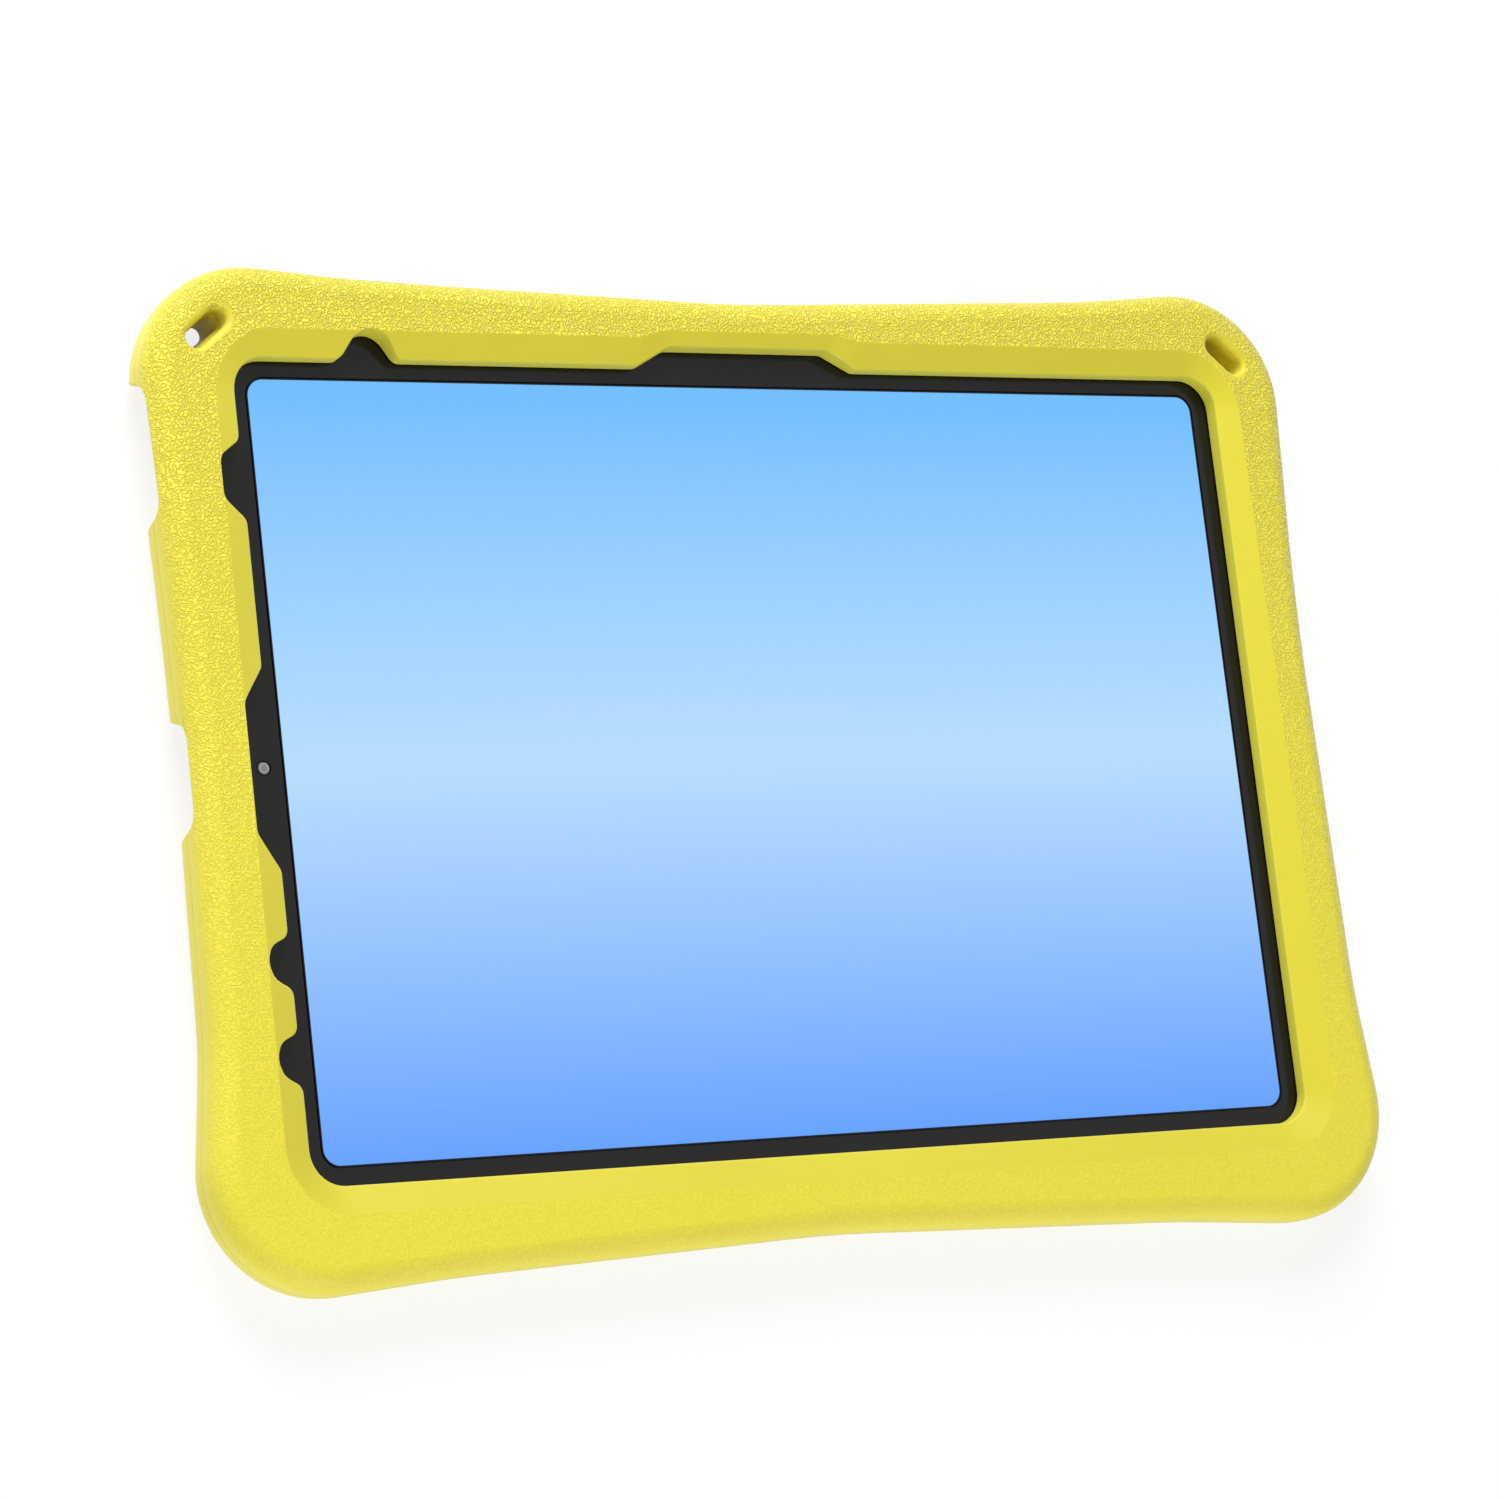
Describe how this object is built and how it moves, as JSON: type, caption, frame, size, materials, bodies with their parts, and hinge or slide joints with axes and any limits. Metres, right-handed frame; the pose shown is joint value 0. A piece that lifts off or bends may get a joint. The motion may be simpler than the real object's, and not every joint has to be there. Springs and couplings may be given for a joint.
{
  "type": "rugged tablet case",
  "caption": "Moulded foam case around an eleven inch tablet, with a raised front lip, strap slots in the upper corners and openings for keys, port and cameras.",
  "frame": {"origin": "under the middle of the case outline, on the flat back face", "axes": "+X along the long side to the end with the charging port, +Y to the long side with the volume key opening, +Z out of the screen"},
  "size_m": [0.2784, 0.2078, 0.0149],
  "materials": {
    "yellow_foam": "matte closed-cell foam with a fine moulded leather grain",
    "housing_metal": "fine bead-blasted anodised",
    "black_glass": "polished, black printed border behind it",
    "lit_display": "polished, lit by a plain blue gradient",
    "front_lens_glass": "polished grey",
    "rear_lens_glass": "polished, dark",
    "flash_cover": "milky diffuser"
  },
  "bodies": {
    "root": {"foam_case": "yellow_foam", "tablet_housing": "housing_metal", "cover_glass": "black_glass", "display_panel": "lit_display", "front_lens": "front_lens_glass", "rear_lens_upper": "rear_lens_glass", "rear_lens_lower": "rear_lens_glass", "rear_flash": "flash_cover", "power_key": "housing_metal", "volume_up_key": "housing_metal", "volume_down_key": "housing_metal"}
  },
  "joints": []
}
